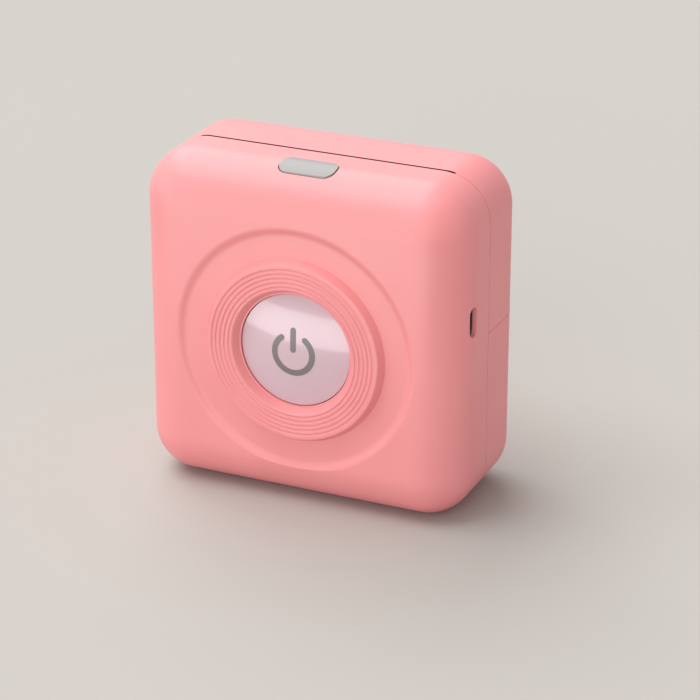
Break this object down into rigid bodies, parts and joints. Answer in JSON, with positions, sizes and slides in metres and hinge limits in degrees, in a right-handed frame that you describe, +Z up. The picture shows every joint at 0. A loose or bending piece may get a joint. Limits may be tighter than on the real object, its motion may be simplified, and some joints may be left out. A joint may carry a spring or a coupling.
{
  "type": "portable thermal printer",
  "caption": "Palm-size thermal printer for narrow paper rolls: rounded case, hinged rear cover over the roll, paper slot on top, grey release button, domed power button in a ribbed ring.",
  "frame": {"origin": "centre of the bounding box at the flat bottom on which the printer stands", "axes": "+X to the right seen from the front, +Y to the back (the front faces -Y), +Z up"},
  "size_m": [0.107, 0.0516, 0.1073],
  "materials": {
    "case_plastic": "satin",
    "button_grey": "satin",
    "dome_white": "gloss",
    "inner_white": "matte",
    "steel": "brushed",
    "spring_steel": "bright",
    "screw_steel": "black zinc",
    "board_green": "satin",
    "black_plastic": "matte",
    "motor_can": "satin",
    "gear_white": "satin",
    "brass": "satin",
    "roller_rubber": "ground",
    "aluminium": "satin",
    "ceramic": "glazed",
    "flat_cable": "satin",
    "battery_wrap": "foil",
    "lead_red": "satin"
  },
  "bodies": {
    "printer_body": {"front_shell": "case_plastic", "rear_shell": "case_plastic", "tear_bar": "steel", "paper_tray": "inner_white", "print_frame": "steel", "main_board": "board_green", "board_chips": "black_plastic", "usb_port": "steel", "usb_tongue": "black_plastic", "power_switch": "black_plastic", "release_spring": "spring_steel", "battery": "battery_wrap", "battery_lead": "lead_red", "case_screws": "screw_steel", "board_screws": "screw_steel", "frame_screws": "screw_steel", "motor_screws": "screw_steel", "tray_screws": "screw_steel", "gear_axles": "steel", "stepper_motor": "motor_can", "head_pivot_rod": "steel", "head_springs": "spring_steel", "head_cable": "flat_cable", "paper_sensor": "black_plastic", "hinge_pins": "steel"},
    "rear_cover": {"cover_shell": "case_plastic", "platen_bracket": "steel", "bracket_screws": "screw_steel", "platen_bushes": "brass"},
    "platen": {"platen_shaft": "steel", "platen_roller": "roller_rubber", "platen_gear": "gear_white"},
    "print_head": {"heat_sink": "aluminium", "head_board": "ceramic"},
    "idler": {"idler_gear": "gear_white"},
    "compound": {"compound_gear": "gear_white"},
    "motor_rotor": {"motor_shaft": "steel", "motor_pinion": "brass"},
    "release_key": {"release_button": "button_grey"},
    "ejector": {"ejector_lever": "steel"},
    "power_key": {"power_button": "dome_white", "switch_plunger": "black_plastic"}
  },
  "joints": [
    {"name": "cover_hinge", "type": "hinge", "parent": "printer_body", "child": "rear_cover", "pos_m": [0, 0.0228, 0.057], "axis": [-1, 0, 0], "range_deg": [0, 90]},
    {"name": "platen_spin", "type": "hinge", "parent": "rear_cover", "child": "platen", "pos_m": [0, 0.0047, 0.095], "axis": [1, 0, 0], "continuous": true},
    {"name": "idler_spin", "type": "hinge", "parent": "printer_body", "child": "idler", "pos_m": [-0.0353, -0.00324, 0.09122], "axis": [1, 0, 0], "continuous": true},
    {"name": "compound_spin", "type": "hinge", "parent": "printer_body", "child": "compound", "pos_m": [-0.0369, -0.00575, 0.08532], "axis": [1, 0, 0], "continuous": true},
    {"name": "motor_spin", "type": "hinge", "parent": "printer_body", "child": "motor_rotor", "pos_m": [-0.0389, -0.00712, 0.07744], "axis": [1, 0, 0], "continuous": true},
    {"name": "head_tilt", "type": "hinge", "parent": "printer_body", "child": "print_head", "pos_m": [0, -0.0054, 0.088], "axis": [1, 0, 0], "range_deg": [0, 3], "stiffness_Nm_per_rad": 0.12, "springref_deg": -2.86, "deforming": ["head_springs"]},
    {"name": "release_press", "type": "slide", "parent": "printer_body", "child": "release_key", "axis": [0, 0, -1], "range_m": [0, 0.0012], "stiffness_N_per_m": 400, "springref_m": -0.001, "deforming": ["release_spring"]},
    {"name": "lever_rock", "type": "hinge", "parent": "printer_body", "child": "ejector", "pos_m": [0.002, -0.0117, 0.096], "axis": [1, 0, 0], "range_deg": [0, 14.04]},
    {"name": "power_press", "type": "slide", "parent": "printer_body", "child": "power_key", "axis": [0, 1, 0], "range_m": [0, 0.0005], "stiffness_N_per_m": 1500, "springref_m": -0.0005}
  ],
  "couplings": [
    {"joint": "idler_spin", "follows": "platen_spin", "ratio": -1.2},
    {"joint": "compound_spin", "follows": "platen_spin", "ratio": 2},
    {"joint": "motor_spin", "follows": "platen_spin", "ratio": -6},
    {"joint": "lever_rock", "follows": "release_press", "rad_per_m": 204.08}
  ]
}
